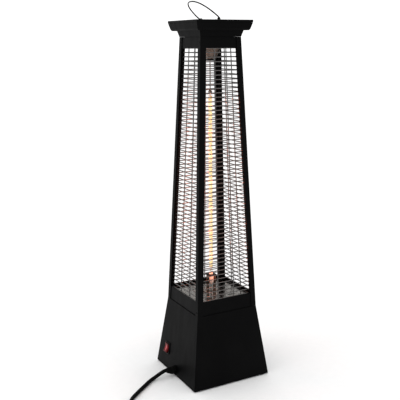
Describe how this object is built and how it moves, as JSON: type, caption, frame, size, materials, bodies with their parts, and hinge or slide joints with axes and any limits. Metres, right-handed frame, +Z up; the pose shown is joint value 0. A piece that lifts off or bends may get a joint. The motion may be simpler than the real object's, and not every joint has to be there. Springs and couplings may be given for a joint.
{
  "type": "outdoor heater",
  "caption": "Electric pyramid patio heater: flared black base, tapering wire-grilled tower round one upright lamp, flared cap, folding wire handle, rocker switch and mains lead.",
  "frame": {"origin": "on the floor under the centre of the base", "axes": "+Z up the tower; -Y is the front; -X is the side with the switch and the lead, and the handle leans to -X"},
  "size_m": [0.4218, 0.3874, 0.9491],
  "materials": {
    "black_paint": "black powder coat, satin with a fine grain",
    "stainless": "bright rolled stainless",
    "chromed_wire": "bright plated wire",
    "zinc_plate": "zinc plated, dull",
    "black_rubber": "matt",
    "black_plastic": "fine moulded grain",
    "red_rocker": "glossy translucent red, lit from inside when on",
    "ceramic": "unglazed",
    "quartz": "clear fused quartz",
    "glowing_element": "glowing yellow-white, orange at its ends",
    "brass": "plain, polished",
    "wire_sleeve": "woven glass-fibre sleeve"
  },
  "bodies": {
    "heater": {"base_deck": "zinc_plate", "base_shell": "black_paint", "bottom_plate": "zinc_plate", "cap_collar": "black_paint", "cap_hood": "black_paint", "cap_lid": "black_paint", "ceiling_plate": "stainless", "cord_coil": "black_rubber", "cord_gland": "black_rubber", "cord_tail": "black_rubber", "feed_wire": "wire_sleeve", "floor_reflector": "stainless", "foot_front_left": "black_rubber", "foot_front_right": "black_rubber", "foot_rear_left": "black_rubber", "foot_rear_right": "black_rubber", "foot_screw_front_left": "zinc_plate", "foot_screw_front_right": "zinc_plate", "foot_screw_rear_left": "zinc_plate", "foot_screw_rear_right": "zinc_plate", "gland_nut": "black_plastic", "grille_front": "chromed_wire", "grille_left": "chromed_wire", "grille_rear": "chromed_wire", "grille_right": "chromed_wire", "handle_lug_front": "black_paint", "handle_lug_rear": "black_paint", "header_panel_front": "black_paint", "header_panel_left": "black_paint", "header_panel_rear": "black_paint", "header_panel_right": "black_paint", "lamp_bracket": "stainless", "lamp_cap_upper": "ceramic", "lamp_element": "glowing_element", "lamp_holder_lower": "black_paint", "lamp_holder_upper": "black_paint", "lamp_socket_lower": "ceramic", "lamp_socket_upper": "ceramic", "lamp_tube": "quartz", "mains_wire": "wire_sleeve", "neck_panel_front": "black_paint", "neck_panel_left": "black_paint", "neck_panel_rear": "black_paint", "neck_panel_right": "black_paint", "plug_body": "black_rubber", "plug_pin_a": "brass", "plug_pin_b": "brass", "post_front_left": "black_paint", "post_front_right": "black_paint", "post_rear_left": "black_paint", "post_rear_right": "black_paint", "power_cord": "black_rubber", "return_wire": "wire_sleeve", "switch_body": "black_plastic", "switch_wire": "wire_sleeve", "terminal_block": "black_plastic", "tilt_switch": "black_plastic", "upper_deflector": "stainless"},
    "bail": {"bail_handle": "chromed_wire"},
    "rocker": {"switch_rocker": "red_rocker"}
  },
  "joints": [
    {"name": "bail_hinge", "type": "hinge", "parent": "heater", "child": "bail", "pos_m": [0, 0, 0.908], "axis": [0, 1, 0], "range_deg": [-34, 138]},
    {"name": "rocker_hinge", "type": "hinge", "parent": "heater", "child": "rocker", "pos_m": [-0.10146, 0.056, 0.0558], "axis": [0, -1, 0], "range_deg": [0, 18]}
  ]
}
